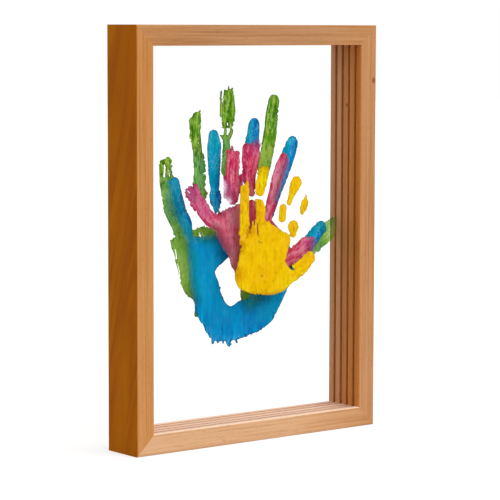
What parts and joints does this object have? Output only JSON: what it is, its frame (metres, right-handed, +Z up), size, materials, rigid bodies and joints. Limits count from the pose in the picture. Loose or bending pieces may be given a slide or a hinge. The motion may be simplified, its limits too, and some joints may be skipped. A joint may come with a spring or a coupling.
{
  "type": "layered handprint frame",
  "caption": "Deep mitred wooden frame whose inner grooves hold clear panes one behind another, each with a painted handprint, so that hands of different sizes overlap.",
  "frame": {"origin": "middle of the base, half way between the sides and half way through the depth", "axes": "+Z up along the frame's height, +X to the right seen from the front, the front faces -Y"},
  "size_m": [0.232, 0.0376, 0.3185],
  "materials": {
    "beech": "satin",
    "dowel_wood": "matte",
    "clear_pane": "polished",
    "green_paint": "gloss",
    "blue_paint": "gloss",
    "pink_paint": "gloss",
    "yellow_paint": "gloss"
  },
  "bodies": {
    "frame": {"left_stile": "beech", "right_stile": "beech", "bottom_rail": "beech", "dowel_left_front": "dowel_wood", "dowel_left_back": "dowel_wood", "dowel_right_front": "dowel_wood", "dowel_right_back": "dowel_wood", "peg_left_front": "dowel_wood", "peg_left_back": "dowel_wood", "peg_right_front": "dowel_wood", "peg_right_back": "dowel_wood"},
    "top_rail": {"top_rail": "beech"},
    "green_panel": {"pane_green": "clear_pane", "print_green": "green_paint"},
    "blue_panel": {"pane_blue": "clear_pane", "print_blue": "blue_paint"},
    "pink_panel": {"pane_pink": "clear_pane", "print_pink": "pink_paint"},
    "yellow_panel": {"pane_yellow": "clear_pane", "print_yellow": "yellow_paint"}
  },
  "joints": [
    {"name": "top_rail_lift", "type": "slide", "parent": "frame", "child": "top_rail", "axis": [0, 0, 1], "range_m": [0, 0.42]},
    {"name": "green_panel_slide", "type": "slide", "parent": "frame", "child": "green_panel", "axis": [0, 0, 1], "range_m": [0, 0.387]},
    {"name": "blue_panel_slide", "type": "slide", "parent": "frame", "child": "blue_panel", "axis": [0, 0, 1], "range_m": [0, 0.362]},
    {"name": "pink_panel_slide", "type": "slide", "parent": "frame", "child": "pink_panel", "axis": [0, 0, 1], "range_m": [0, 0.337]},
    {"name": "yellow_panel_slide", "type": "slide", "parent": "frame", "child": "yellow_panel", "axis": [0, 0, 1], "range_m": [0, 0.311]}
  ],
  "couplings": [
    {"joint": "green_panel_slide", "follows": "top_rail_lift", "ratio": 0.92},
    {"joint": "blue_panel_slide", "follows": "top_rail_lift", "ratio": 0.86},
    {"joint": "pink_panel_slide", "follows": "top_rail_lift", "ratio": 0.8},
    {"joint": "yellow_panel_slide", "follows": "top_rail_lift", "ratio": 0.74}
  ]
}
